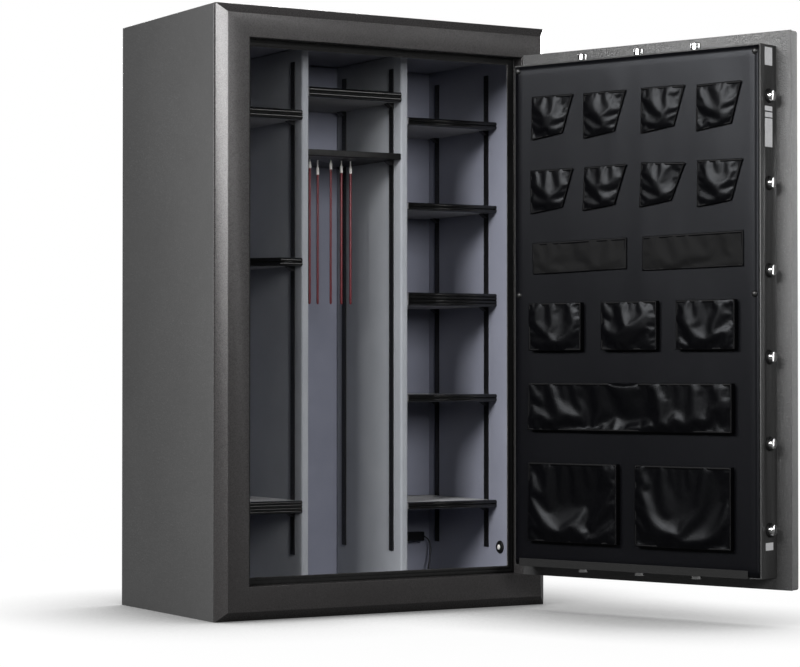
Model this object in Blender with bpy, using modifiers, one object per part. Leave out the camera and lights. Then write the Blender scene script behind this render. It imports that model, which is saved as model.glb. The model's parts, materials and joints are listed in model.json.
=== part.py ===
"""Gun safe with its door standing open: body, lined interior, shelving, hinges, door and bolt work.

Frame: metres, +Z up, +X to the viewer's right, the door opening faces -Y.
The origin is at the middle of the body's base.
Door pieces are laid out as they sit with the door shut, then hung on the door pivot.
"""

import math

import bmesh
import bpy
from mathutils import Vector

# ---------------------------------------------------------------- driving dimensions (metres)
GAP = 0.0003                     # clearance between pieces that touch

BODY_W = 1.064
BODY_D = 0.633
BODY_H = 1.676
STEEL = 0.003
FRONT_CHAMFER = 0.026
FRAME_RETURN = 0.010             # side return behind the mitred chamfer

OPEN_HALF_W = 0.441              # door opening in the front face
OPEN_LOW = 0.0945
OPEN_HIGH = 1.5845
LIP_DEPTH = 0.042                # the stop that the bolts hook behind
LIP_HALF_W = 0.417
LIP_LOW = 0.1155
LIP_HIGH = 1.565

ROOM_HALF_W = 0.4865             # lined interior
ROOM_LOW = 0.045
ROOM_HIGH = 1.600
ROOM_BACK = 0.593                # depths are measured from the front face
LINER_FRONT = 0.098
LINER_T = 0.006
LINING_FRONT = 0.052

RACKING_FRONT = 0.2085           # shelf and divider front plane
DIVIDERS = {"left": (-0.1674, -0.1449), "right": (0.1585, 0.1825)}
STANDARD_W = 0.022
STANDARD_T = 0.003
STANDARD_DEPTHS = {"front": 0.261, "rear": 0.543}
STANDARD_LOW = 0.155
STANDARD_HIGH = 1.560

# column: list of (name, underside, top)
SHELVES = {
    "left": [("top", 1.3925, 1.4180), ("middle", 0.9760, 0.9975), ("bottom", 0.2760, 0.3110)],
    "middle": [("top", 1.4600, 1.4860), ("barrel_rest", 1.2925, 1.3095)],
    "right": [("1", 1.3955, 1.4155), ("2", 1.1480, 1.1675), ("3", 0.8690, 0.9065),
              ("4", 0.5890, 0.6090), ("5", 0.2755, 0.2955)],
}

DOOR_OPEN_DEG = 110.6
HINGE_X = 0.4554
HINGE_STAND_OFF = 0.0209         # pin axis in front of the face
HINGE_R = 0.016
HINGE_PIN_R = 0.008
HINGE_BARREL = 0.055
HINGE_HEIGHTS = {"lower": 0.330, "upper": 1.350}

DOOR_SIDE_CLEAR = 0.0035
DOOR_SKIN_D = 0.0327
DOOR_PLATE_T = 0.005
DOOR_SKIN_BEVEL = 0.006
PAN_FREE_X = -0.3925
PAN_HINGE_X = 0.4075
PAN_LOW = 0.131
PAN_HIGH = 1.541
PAN_BACK = 0.118                 # depth of the pan's inner face when shut
PAN_T = 0.0025
COVER_T = 0.006
COVER_INSET = 0.004

DRIVE_X = -0.020                 # handle spindle
DRIVE_Z = 0.860
DIAL_Z = 1.070
SPINDLE_R = 0.008
DIAL_SPINDLE_R = 0.004

GEAR_MODULE = 0.002
GEAR_TEETH = 14
GEAR_PRESSURE = math.radians(25.0)
GEAR_BACKLASH = 0.00035
GEAR_ADDENDUM = 0.0018
GEAR_DEDENDUM = 0.0025
PITCH_R = GEAR_MODULE * GEAR_TEETH / 2.0
RACK_TEETH = 9

BOLT_R = 0.0145
BOLT_DEPTH = 0.077               # bolt axis behind the front face
BOLT_HEIGHTS = (0.2585, 0.4858, 0.7147, 0.9438, 1.1748, 1.4054)
BOLT_COLUMNS = (-0.1675, 0.0160, 0.2025)
SIDE_BOLT_TIP = -0.4085          # drawn back, ready to swing
TOP_BOLT_TIP = 1.562
BOTTOM_BOLT_TIP = 0.1185
BOLT_CHAMFER = 0.0012
FIXED_PIN_R = 0.008
FIXED_PIN_TIP = 0.428

BAR_T = 0.008                    # bolt bars are flat plates in two layers
LAYER_STEP = 0.010
SIDE_BAR = (-0.3453, -0.3153)
TOP_BAR = (1.4880, 1.5140)
BOTTOM_BAR = (0.1580, 0.1840)
ARM_W = 0.018

BOX_X = (0.385, 0.4460)          # power box on the back wall
BOX_Z = (0.1566, 0.1850)
BOX_D = 0.040
CORD_R = 0.0022
GLAND_AT = (0.4560, 0.2330)
GLAND_R = 0.009
GLAND_H = 0.012

FACE_Y = -BODY_D / 2.0
BACK_Y = BODY_D / 2.0
HINGE_Y = FACE_Y - HINGE_STAND_OFF
PIVOT = Vector((HINGE_X, HINGE_Y, 0.0))
DOOR_X0 = -OPEN_HALF_W + DOOR_SIDE_CLEAR
DOOR_X1 = OPEN_HALF_W - DOOR_SIDE_CLEAR
DOOR_Z0 = OPEN_LOW + DOOR_SIDE_CLEAR
DOOR_Z1 = OPEN_HIGH - DOOR_SIDE_CLEAR
PLATE_FRONT = DOOR_SKIN_D + GAP
PLATE_BACK = PLATE_FRONT + DOOR_PLATE_T
BOLT_Y = FACE_Y + BOLT_DEPTH


# ---------------------------------------------------------------- scene set-up
def clear_scene():
    for obj in list(bpy.data.objects):
        bpy.data.objects.remove(obj, do_unlink=True)


def new_collection(name):
    collection = bpy.data.collections.new(name)
    bpy.context.scene.collection.children.link(collection)
    return collection


clear_scene()
PARTS = new_collection("gun_safe")
CUTTERS = new_collection("cutters")


def material(name, colour, roughness, metallic=0.0):
    mat = bpy.data.materials.new(name)
    mat.use_nodes = True
    shader = mat.node_tree.nodes["Principled BSDF"]
    shader.inputs["Base Color"].default_value = (*colour, 1.0)
    shader.inputs["Roughness"].default_value = roughness
    shader.inputs["Metallic"].default_value = metallic
    return mat


def painted(name):
    return material(name, (0.075, 0.075, 0.078), 0.45, 0.3)


def liner_cloth(name):
    return material(name, (0.10, 0.11, 0.14), 0.95)


def fireboard(name):
    return material(name, (0.55, 0.53, 0.50), 0.9)


def black_steel(name):
    return material(name, (0.02, 0.02, 0.022), 0.4, 0.5)


def chrome(name):
    return material(name, (0.75, 0.75, 0.76), 0.12, 1.0)


def zinc_steel(name):
    return material(name, (0.45, 0.45, 0.46), 0.35, 0.9)


# ---------------------------------------------------------------- modelling helpers
def add_object(name, data, mat=None, collection=None):
    obj = bpy.data.objects.new(name, data)
    (collection or PARTS).objects.link(obj)
    if mat is not None:
        data.materials.append(mat(name + "_finish"))
    return obj


def mesh_object(name, bm, mat, at=(0.0, 0.0, 0.0), collection=None):
    bmesh.ops.recalc_face_normals(bm, faces=bm.faces)
    mesh = bpy.data.meshes.new(name)
    bm.to_mesh(mesh)
    bm.free()
    obj = add_object(name, mesh, mat, collection)
    obj.location = at
    return obj


def box(name, x, y, z, mat=None, collection=None):
    """A block between the given (low, high) pairs, with its origin in its middle."""
    bm = bmesh.new()
    bmesh.ops.create_cube(bm, size=1.0)
    bmesh.ops.scale(bm, verts=bm.verts, vec=(x[1] - x[0], y[1] - y[0], z[1] - z[0]))
    middle = ((x[0] + x[1]) / 2.0, (y[0] + y[1]) / 2.0, (z[0] + z[1]) / 2.0)
    return mesh_object(name, bm, mat, middle, collection)


def cylinder(name, radius, start, axis, length, mat=None, segments=32, collection=None):
    """A rod from start along X, Y or Z; a negative length runs the other way."""
    bm = bmesh.new()
    bmesh.ops.create_cone(bm, cap_ends=True, segments=segments, radius1=radius,
                          radius2=radius, depth=abs(length))
    bmesh.ops.translate(bm, verts=bm.verts, vec=(0.0, 0.0, length / 2.0))
    obj = mesh_object(name, bm, mat, start, collection)
    obj.rotation_euler = {"X": (0.0, math.pi / 2.0, 0.0),
                          "Y": (-math.pi / 2.0, 0.0, 0.0),
                          "Z": (0.0, 0.0, 0.0)}[axis]
    return obj


def turned(name, profile, start, axis, mat, segments=40):
    """A lathe-turned piece: profile is (radius, distance along the axis), top to bottom."""
    mesh = bpy.data.meshes.new(name)
    points = [(radius, 0.0, along) for radius, along in profile]
    mesh.from_pydata(points, [(i, i + 1) for i in range(len(points) - 1)], [])
    obj = add_object(name, mesh, mat)
    obj.location = start
    obj.rotation_euler = {"-Y": (math.pi / 2.0, 0.0, 0.0), "Z": (0.0, 0.0, 0.0)}[axis]
    screw = obj.modifiers.new("turn", "SCREW")
    screw.axis = "Z"
    screw.steps = segments
    screw.render_steps = segments
    screw.use_merge_vertices = True
    screw.merge_threshold = 0.00001
    return obj


def flat_plate(name, outline, y0, y1, mat, at=(0.0, 0.0)):
    """A plate cut to an outline of (x, z) points about at, from y0 back to y1."""
    bm = bmesh.new()
    bm.faces.new([bm.verts.new((x - at[0], 0.0, z - at[1])) for x, z in outline])
    mesh = bpy.data.meshes.new(name)
    bm.to_mesh(mesh)
    bm.free()
    obj = add_object(name, mesh, mat)
    obj.location = (at[0], (y0 + y1) / 2.0, at[1])
    plate = thicken(obj, y1 - y0)
    plate.offset = 0.0
    return obj


def level_board(name, outline, z0, z1, mat):
    """A level board cut to an outline of (x, y) points."""
    curve = bpy.data.curves.new(name, "CURVE")
    curve.dimensions = "2D"
    curve.fill_mode = "BOTH"
    curve.extrude = (z1 - z0) / 2.0
    spline = curve.splines.new("POLY")
    spline.points.add(len(outline) - 1)
    for point, (x, y) in zip(spline.points, outline):
        point.co = (x, y, 0.0, 1.0)
    spline.use_cyclic_u = True
    obj = add_object(name, curve, mat)
    obj.location = (0.0, 0.0, (z0 + z1) / 2.0)
    return obj


def ring_shell(name, rings, thickness, mat):
    """Folded sheet from rectangles of (half width, low, high, y), outermost first."""
    bm = bmesh.new()
    rows = []
    for half, low, high, y in rings:
        corners = [(-half, low), (half, low), (half, high), (-half, high)]
        rows.append([bm.verts.new((x, y, z)) for x, z in corners])
    for outer, inner in zip(rows, rows[1:]):
        for i in range(4):
            j = (i + 1) % 4
            bm.faces.new((outer[i], outer[j], inner[j], inner[i]))
    mesh = bpy.data.meshes.new(name)
    bm.to_mesh(mesh)
    bm.free()
    obj = add_object(name, mesh, mat)
    thicken(obj, thickness)
    return obj


def open_box(name, x, y, z, open_side, thickness, mat, bevel=0.0):
    """A five-sided sheet box, open towards -Y or +Y."""
    obj = box(name, x, y, z, mat)
    bm = bmesh.new()
    bm.from_mesh(obj.data)
    gone = [f for f in bm.faces if f.normal.y * open_side > 0.5]
    bmesh.ops.delete(bm, geom=gone, context="FACES")
    bm.to_mesh(obj.data)
    bm.free()
    if bevel > 0.0:
        round_edges(obj, bevel, 3)
    thicken(obj, thickness)
    return obj


def thicken(obj, thickness):
    solid = obj.modifiers.new("sheet", "SOLIDIFY")
    solid.thickness = thickness
    solid.offset = -1.0
    solid.use_even_offset = True
    return solid


def round_edges(obj, width, segments=2):
    bevel = obj.modifiers.new("edges", "BEVEL")
    bevel.width = width
    bevel.segments = segments
    bevel.limit_method = "ANGLE"
    return bevel


def combine(obj, other, operation):
    """Cut other out of obj, or weld it on, and keep other as a hidden helper."""
    boolean = obj.modifiers.new(operation.lower(), "BOOLEAN")
    boolean.operation = operation
    boolean.solver = "EXACT"
    boolean.object = other
    other.hide_render = True
    other.display_type = "WIRE"


def cut(obj, other):
    combine(obj, other, "DIFFERENCE")


def weld(obj, other):
    combine(obj, other, "UNION")


def hang(objects):
    """Hang pieces laid out in the shut position on the open door's pivot."""
    for obj in objects:
        obj.parent = DOOR_PIVOT
        obj.location = Vector(obj.location) - PIVOT


# ---------------------------------------------------------------- body
def build_body():
    front = FACE_Y + FRONT_CHAMFER + FRAME_RETURN
    open_box("body_shell", (-BODY_W / 2.0, BODY_W / 2.0), (front + GAP, BACK_Y),
             (0.0, BODY_H), -1, STEEL, painted)
    half = BODY_W / 2.0
    edge = FRONT_CHAMFER
    ring_shell("front_frame", [
        (half, 0.0, BODY_H, front),
        (half, 0.0, BODY_H, FACE_Y + edge),
        (half - edge, edge, BODY_H - edge, FACE_Y),
        (OPEN_HALF_W, OPEN_LOW, OPEN_HIGH, FACE_Y),
        (OPEN_HALF_W, OPEN_LOW, OPEN_HIGH, FACE_Y + LIP_DEPTH),
        (LIP_HALF_W, LIP_LOW, LIP_HIGH, FACE_Y + LIP_DEPTH),
    ], STEEL, painted)


def build_lining():
    inner = STEEL + GAP
    lining = box("fire_lining", (-BODY_W / 2.0 + inner, BODY_W / 2.0 - inner),
                 (FACE_Y + LINING_FRONT, BACK_Y - inner), (inner, BODY_H - inner), fireboard)
    around = LINER_T + GAP
    room = box("cut_room", (-ROOM_HALF_W - around, ROOM_HALF_W + around),
               (FACE_Y, FACE_Y + ROOM_BACK + around),
               (ROOM_LOW - around, ROOM_HIGH + around), collection=CUTTERS)
    cut(lining, room)


def build_liners():
    y = (FACE_Y + LINER_FRONT, FACE_Y + ROOM_BACK - GAP)
    z = (ROOM_LOW, ROOM_HIGH)
    w = ROOM_HALF_W
    box("liner_left", (-w - LINER_T, -w), y, z, liner_cloth)
    box("liner_right", (w, w + LINER_T), y, z, liner_cloth)
    box("liner_floor", (-w, w), y, (ROOM_LOW - LINER_T, ROOM_LOW - GAP), liner_cloth)
    box("liner_ceiling", (-w, w), y, (ROOM_HIGH + GAP, ROOM_HIGH + LINER_T), liner_cloth)
    box("liner_back", (-w, w), (FACE_Y + ROOM_BACK, FACE_Y + ROOM_BACK + LINER_T), z, liner_cloth)


# ---------------------------------------------------------------- dividers, standards, shelves
def column_sides():
    """Left and right face of each column."""
    left, right = DIVIDERS["left"], DIVIDERS["right"]
    return {"left": (-ROOM_HALF_W, left[0]), "middle": (left[1], right[0]),
            "right": (right[1], ROOM_HALF_W)}


def divider_cloth(name):
    return material(name, (0.30, 0.31, 0.34), 0.95)


def build_dividers():
    for side, x in DIVIDERS.items():
        box("divider_" + side, x, (FACE_Y + RACKING_FRONT, FACE_Y + ROOM_BACK - GAP),
            (ROOM_LOW + GAP, ROOM_HIGH - GAP), divider_cloth)


def build_standards():
    """Slotted shelf standards, a front and a rear one on each side of each column."""
    for column, (x0, x1) in column_sides().items():
        sides = {"left": (x0 + GAP, x0 + GAP + STANDARD_T),
                 "right": (x1 - GAP - STANDARD_T, x1 - GAP)}
        for side, x in sides.items():
            for place, depth in STANDARD_DEPTHS.items():
                middle = FACE_Y + depth
                box("standard_%s_%s_%s" % (column, side, place), x,
                    (middle - STANDARD_W / 2.0, middle + STANDARD_W / 2.0),
                    (STANDARD_LOW, STANDARD_HIGH), black_steel)


def shelf_side(x_wall, inward):
    """Points down one side of a shelf, front to back, with a notch round each standard."""
    x_edge = x_wall + inward * GAP
    x_notch = x_wall + inward * (STANDARD_T + 3.0 * GAP)
    half = STANDARD_W / 2.0 + 0.001
    points = []
    for depth in STANDARD_DEPTHS.values():
        y = FACE_Y + depth
        points += [(x_edge, y - half), (x_notch, y - half), (x_notch, y + half), (x_edge, y + half)]
    return points


def shelf_outline(x0, x1, barrel_cut):
    y0 = FACE_Y + RACKING_FRONT
    y1 = FACE_Y + ROOM_BACK - 2.0 * GAP
    left = shelf_side(x0, 1.0)
    right = shelf_side(x1, -1.0)
    if barrel_cut:
        return barrel_cut_front(x0, x1, y0) + right + [(x1 - GAP, y1), (x0 + GAP, y1)] + left[:3:-1]
    front = [(x0 + GAP, y0), (x1 - GAP, y0)]
    return front + right + [(x1 - GAP, y1), (x0 + GAP, y1)] + left[::-1]


def barrel_cut_front(x0, x1, y0):
    """Front edge with a clearance for long barrels at the wall side."""
    back_of_cut = y0 + 0.130
    return [(x0 + GAP, back_of_cut), (x0 + 0.165, back_of_cut), (x1 - 0.068, y0), (x1 - GAP, y0)]


def shelf_board(name):
    return material(name, (0.28, 0.29, 0.31), 0.9)


def build_shelves():
    for column, rows in SHELVES.items():
        x0, x1 = column_sides()[column]
        for row, z0, z1 in rows:
            cut_back = (column, row) == ("left", "middle")
            name = row if row == "barrel_rest" else "shelf_%s_%s" % (column, row)
            level_board(name, shelf_outline(x0, x1, cut_back), z0, z1, shelf_board)


# ---------------------------------------------------------------- power box, cord, grommet
def smooth_route(points, samples):
    """Catmull-Rom curve through the route's points."""
    pts = [Vector(p) for p in points]
    pts = [2.0 * pts[0] - pts[1]] + pts + [2.0 * pts[-1] - pts[-2]]
    route = []
    for i in range(1, len(pts) - 2):
        a, b, c, d = pts[i - 1:i + 3]
        for k in range(samples):
            t = k / samples
            route.append(0.5 * ((2.0 * b) + (c - a) * t + (2.0 * a - 5.0 * b + 4.0 * c - d) * t ** 2
                                + (3.0 * b - a - 3.0 * c + d) * t ** 3))
    route.append(pts[-2])
    return route


def cord_route():
    gx, gy = GLAND_AT
    top = ROOM_LOW + GLAND_H + 2.0 * GAP
    return [
        (BOX_X[1] + GAP, 0.2560, 0.1700),
        (0.4530, 0.2558, 0.1694),
        (0.4598, 0.2551, 0.1672),
        (0.4660, 0.2539, 0.1628),
        (0.4706, 0.2522, 0.1563),
        (0.4730, 0.2501, 0.1477),
        (0.4732, 0.2477, 0.1370),
        (0.4716, 0.2450, 0.1240),
        (0.4686, 0.2418, 0.1095),
        (0.4645, 0.2385, 0.0950),
        (0.4600, 0.2355, 0.0812),
        (0.4568, 0.2335, 0.0690),
        (gx, gy, top),
    ]


def build_power():
    wall = FACE_Y + ROOM_BACK - GAP
    outlet = box("power_box", BOX_X, (wall - BOX_D, wall), BOX_Z,
                 lambda name: material(name, (0.015, 0.015, 0.017), 0.35))
    round_edges(outlet, 0.002)
    turned("cord_gland", [(0.0, GLAND_H), (GLAND_R * 0.7, GLAND_H), (GLAND_R, GLAND_H * 0.6),
                          (GLAND_R, 0.0), (0.0, 0.0)],
           (*GLAND_AT, ROOM_LOW + GAP), "Z",
           lambda name: material(name, (0.02, 0.02, 0.02), 0.6), 24)
    route = smooth_route(cord_route(), 3)
    curve = bpy.data.curves.new("power_cord", "CURVE")
    curve.dimensions = "3D"
    curve.bevel_depth = CORD_R
    curve.bevel_resolution = 2
    curve.use_fill_caps = True
    spline = curve.splines.new("POLY")
    spline.points.add(len(route) - 1)
    for point, place in zip(spline.points, route):
        point.co = (*place, 1.0)
    add_object("power_cord", curve, lambda name: material(name, (0.015, 0.015, 0.015), 0.5))

# ---------------------------------------------------------------- hinges
def hinge_pad(name, x, y, z):
    return box(name, x, y, z, collection=CUTTERS)


def build_hinges():
    """Lift-off barrel hinges: a pinned knuckle on the frame under a bored one on the door."""
    door_pieces = []
    for place, middle in HINGE_HEIGHTS.items():
        fixed = cylinder("hinge_%s_frame_knuckle" % place, HINGE_R,
                         (HINGE_X, HINGE_Y, middle - HINGE_BARREL), "Z",
                         HINGE_BARREL - GAP, painted)
        pad = hinge_pad("weld_hinge_%s_frame" % place, (HINGE_X, HINGE_X + 0.045),
                        (HINGE_Y - 0.006, FACE_Y - GAP),
                        (middle - HINGE_BARREL + 0.002, middle - 0.004))
        pin = cylinder("weld_hinge_%s_pin" % place, HINGE_PIN_R,
                       (HINGE_X, HINGE_Y, middle - 0.010), "Z", HINGE_BARREL, segments=24,
                       collection=CUTTERS)
        weld(fixed, pad)
        weld(fixed, pin)
        moving = cylinder("hinge_%s_door_knuckle" % place, HINGE_R,
                          (HINGE_X, HINGE_Y, middle + GAP), "Z", HINGE_BARREL, painted)
        strap = hinge_pad("weld_hinge_%s_door" % place, (DOOR_X1 - 0.060, HINGE_X),
                          (HINGE_Y - 0.006, FACE_Y - GAP),
                          (middle + 0.004, middle + HINGE_BARREL - 0.002))
        bore = cylinder("cut_hinge_%s_bore" % place, HINGE_PIN_R + GAP,
                        (HINGE_X, HINGE_Y, middle - 0.010), "Z", HINGE_BARREL, segments=24,
                        collection=CUTTERS)
        weld(moving, strap)
        cut(moving, bore)
        door_pieces += [moving, strap, bore]
    hang(door_pieces)


# ---------------------------------------------------------------- door panel
def spindle_holes(tag):
    """Through holes for the handle spindle and the dial spindle."""
    start = FACE_Y - 0.05
    return [cylinder("cut_%s_spindle" % tag, SPINDLE_R + 0.001, (DRIVE_X, start, DRIVE_Z),
                     "Y", 0.15, segments=24, collection=CUTTERS),
            cylinder("cut_%s_dial" % tag, DIAL_SPINDLE_R + 0.001, (DRIVE_X, start, DIAL_Z),
                     "Y", 0.15, segments=24, collection=CUTTERS)]


def build_door_panel():
    skin = open_box("door_skin", (DOOR_X0, DOOR_X1), (FACE_Y, FACE_Y + DOOR_SKIN_D),
                    (DOOR_Z0, DOOR_Z1), 1, STEEL, painted, DOOR_SKIN_BEVEL)
    margin = STEEL + GAP
    board = box("door_fireboard", (DOOR_X0 + margin, DOOR_X1 - margin),
                (FACE_Y + margin, FACE_Y + DOOR_SKIN_D),
                (DOOR_Z0 + margin, DOOR_Z1 - margin), fireboard)
    round_edges(board, DOOR_SKIN_BEVEL, 3)
    plate = box("door_inner_plate", (DOOR_X0, DOOR_X1),
                (FACE_Y + PLATE_FRONT, FACE_Y + PLATE_BACK), (DOOR_Z0, DOOR_Z1), painted)
    pieces = [skin, board, plate]
    for piece in list(pieces):
        holes = spindle_holes(piece.name)
        for hole in holes:
            cut(piece, hole)
        pieces += holes
    hang(pieces)


def build_door_pan():
    """Bolt-work pan on the inner plate, drilled for every bolt."""
    y = (FACE_Y + PLATE_BACK + GAP, FACE_Y + PAN_BACK)
    pan = open_box("door_pan", (PAN_FREE_X, PAN_HINGE_X), y, (PAN_LOW, PAN_HIGH), -1, PAN_T, painted)
    drill = BOLT_R + 0.0008
    reach = 0.030
    holes = []
    for z in BOLT_HEIGHTS:
        holes.append(cylinder("cut_side_bolt", drill, (PAN_FREE_X - reach / 2.0, BOLT_Y, z),
                              "X", reach, segments=24, collection=CUTTERS))
        holes.append(cylinder("cut_fixed_pin", FIXED_PIN_R + 0.0005,
                              (PAN_HINGE_X - reach / 2.0, BOLT_Y, z), "X", reach,
                              segments=20, collection=CUTTERS))
    for x in BOLT_COLUMNS:
        for z in (PAN_LOW, PAN_HIGH):
            holes.append(cylinder("cut_vertical_bolt", drill, (x, BOLT_Y, z - reach / 2.0),
                                  "Z", reach, segments=24, collection=CUTTERS))
    for hole in holes:
        cut(pan, hole)
    cover = box("door_cover", (PAN_FREE_X + COVER_INSET, PAN_HINGE_X - COVER_INSET),
                (FACE_Y + PAN_BACK + GAP, FACE_Y + PAN_BACK + GAP + COVER_T),
                (PAN_LOW + COVER_INSET, PAN_HIGH - COVER_INSET),
                lambda name: material(name, (0.04, 0.042, 0.05), 0.9))
    round_edges(cover, 0.0018)
    hang([pan, cover] + holes)


# ---------------------------------------------------------------- gears and racks
def involute(radius_base, radius):
    """Angle that the involute has unwound at a radius."""
    roll = math.sqrt((radius / radius_base) ** 2 - 1.0)
    return roll - math.atan(roll)


def pinion_outline():
    """Teeth centred on angle zero, as (x, z) points about the shaft."""
    base = PITCH_R * math.cos(GEAR_PRESSURE)
    tip = PITCH_R + GEAR_ADDENDUM
    root = PITCH_R - GEAR_DEDENDUM
    half_at_pitch = math.pi / (2.0 * GEAR_TEETH)
    start = max(base, root)
    radii = [start + (tip - start) * i / 4.0 for i in range(5)]
    half_angles = [half_at_pitch + involute(base, PITCH_R) - involute(base, r) for r in radii]
    points = []
    for tooth in range(GEAR_TEETH):
        centre = 2.0 * math.pi * tooth / GEAR_TEETH
        flank = list(zip(radii, half_angles))
        low = [(root, -half_angles[0] * 1.02)]
        high = [(root, half_angles[0] * 1.02)]
        rising = [(r, -a) for r, a in flank]
        falling = [(r, a) for r, a in reversed(flank)]
        for r, a in low + rising + falling + high:
            points.append((r * math.cos(centre + a), r * math.sin(centre + a)))
    return points


def rack_teeth(first, count, tooth_on_centre):
    """Rack profile as (distance along the rack, height above its pitch line)."""
    pitch = math.pi * GEAR_MODULE
    half = pitch / 4.0 - GEAR_BACKLASH / 2.0
    slope = math.tan(GEAR_PRESSURE)
    offset = 0.0 if tooth_on_centre else pitch / 2.0
    points = []
    for i in range(count):
        middle = (first + i) * pitch + offset
        for height, side in ((-GEAR_DEDENDUM, -1.0), (GEAR_ADDENDUM, -1.0),
                             (GEAR_ADDENDUM, 1.0), (-GEAR_DEDENDUM, 1.0)):
            points.append((middle + side * (half - height * slope), height))
    return points


# ---------------------------------------------------------------- bolt work
def layer(index):
    """Front and back of one layer of bolt bars; bars lie side by side behind the plate."""
    y0 = BOLT_Y - BAR_T / 2.0 + index * LAYER_STEP
    return y0, y0 + BAR_T


def side_bar_outline():
    """Upright bar with an arm that ends in a rack above the pinion."""
    x0, x1 = SIDE_BAR
    teeth = rack_teeth(-3, RACK_TEETH, True)
    pitch_line = DRIVE_Z + PITCH_R
    rack = [(DRIVE_X + along, pitch_line - height) for along, height in teeth]
    foot = pitch_line + GEAR_DEDENDUM
    arm_top = foot + ARM_W
    end = rack[-1][0] + 0.002
    low, high = BOLT_HEIGHTS[0] - 0.025, BOLT_HEIGHTS[-1] + 0.025
    arm = [(x1, foot)] + rack + [(end, foot), (end, arm_top), (x1, arm_top)]
    return [(x0, low), (x1, low)] + arm + [(x1, high), (x0, high)]


def upright_bar_outline(bar, side):
    """Level bar with an upright arm and rack; side +1 drives upwards, -1 downwards."""
    z0, z1 = bar
    x0, x1 = BOLT_COLUMNS[0] - 0.022, BOLT_COLUMNS[-1] + 0.022
    teeth = rack_teeth(-RACK_TEETH + 4, RACK_TEETH, False)
    pitch_line = DRIVE_X + side * PITCH_R
    rack = [(pitch_line - side * height, DRIVE_Z + side * along) for along, height in teeth]
    foot = pitch_line + side * GEAR_DEDENDUM
    back = foot + side * ARM_W
    end = rack[0][1] - side * 0.002
    near, far = (z0, z1) if side > 0 else (z1, z0)
    inner, outer = (x0, x1) if side > 0 else (x1, x0)
    arm = [(foot, near)] + rack[::-1] + [(foot, end), (back, end), (back, near)]
    return [(inner, far), (inner, near)] + arm + [(outer, near), (outer, far)]


def build_drive():
    front, _ = layer(0)
    _, back = layer(1)
    pinion = flat_plate("drive_pinion_and_spindle",
                        [(DRIVE_X + x, DRIVE_Z + z) for x, z in pinion_outline()],
                        front - 0.001, back + 0.001, zinc_steel, (DRIVE_X, DRIVE_Z))
    spindle = cylinder("weld_spindle", SPINDLE_R, (DRIVE_X, FACE_Y - 0.012, DRIVE_Z), "Y",
                       front + 0.002 - (FACE_Y - 0.012), segments=24, collection=CUTTERS)
    weld(pinion, spindle)
    hang([pinion, spindle])


def build_bolt_bars():
    side = flat_plate("side_bolt_bar", side_bar_outline(), *layer(0), zinc_steel)
    pieces = [side]
    for number, z in enumerate(BOLT_HEIGHTS, 1):
        length = SIDE_BAR[0] - GAP - SIDE_BOLT_TIP
        bolt = cylinder("side_bolt_%d" % number, BOLT_R, (SIDE_BOLT_TIP, BOLT_Y, z), "X",
                        length, chrome)
        round_edges(bolt, BOLT_CHAMFER, 1)
        pieces.append(bolt)
    for name, bar, tip, direction in (("top_bolt_set", TOP_BAR, TOP_BOLT_TIP, 1.0),
                                      ("bottom_bolt_set", BOTTOM_BAR, BOTTOM_BOLT_TIP, -1.0)):
        carriage = flat_plate(name, upright_bar_outline(bar, direction), *layer(1), chrome)
        foot = bar[1] - 0.004 if direction > 0 else bar[0] + 0.004
        for x in BOLT_COLUMNS:
            rod = cylinder("weld_" + name, BOLT_R, (x, BOLT_Y, foot), "Z", tip - foot,
                           collection=CUTTERS)
            round_edges(rod, BOLT_CHAMFER, 1)
            weld(carriage, rod)
            pieces.append(rod)
        pieces.append(carriage)
    hang(pieces)


def build_fixed_pins():
    """Dead bolts at the hinge side: a bar inside the pan with six welded pins."""
    x1 = PAN_HINGE_X - PAN_T - 0.001
    bar = box("hinge_side_pin_bar", (x1 - 0.006, x1), (BOLT_Y - 0.018, BOLT_Y + 0.018),
              (BOLT_HEIGHTS[0] - 0.03, BOLT_HEIGHTS[-1] + 0.03), black_steel)
    pieces = [bar]
    for z in BOLT_HEIGHTS:
        pin = cylinder("weld_fixed_pin", FIXED_PIN_R, (x1 - 0.003, BOLT_Y, z), "X",
                       FIXED_PIN_TIP - x1 + 0.003, segments=24, collection=CUTTERS)
        weld(bar, pin)
        pieces.append(pin)
    hang(pieces)


# ---------------------------------------------------------------- lock and handle
def build_lock():
    plate = FACE_Y + PLATE_BACK
    lock = box("lock_body", (DRIVE_X - 0.032, DRIVE_X + 0.032), (plate + GAP, plate + 0.026),
               (DIAL_Z - 0.042, DIAL_Z + 0.042), zinc_steel)
    round_edges(lock, 0.003)
    ring = turned("dial_ring", [(DIAL_SPINDLE_R + 0.001, 0.006), (0.036, 0.006), (0.042, 0.001),
                                (0.042, 0.0), (DIAL_SPINDLE_R + 0.001, 0.0),
                                (DIAL_SPINDLE_R + 0.001, 0.006)],
                  (DRIVE_X, FACE_Y - GAP, DIAL_Z), "-Y", black_steel)
    length = DOOR_SKIN_D + DOOR_PLATE_T + 0.004
    dial = turned("combination_dial",
                  [(0.0, 0.038), (0.014, 0.038), (0.016, 0.035), (0.0165, 0.014), (0.031, 0.011),
                   (0.033, 0.008), (0.033, 0.002), (DIAL_SPINDLE_R, 0.002),
                   (DIAL_SPINDLE_R, -length), (0.0, -length)],
                  (DRIVE_X, FACE_Y - 0.006, DIAL_Z), "-Y", black_steel)
    hang([lock, ring, dial])


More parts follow.
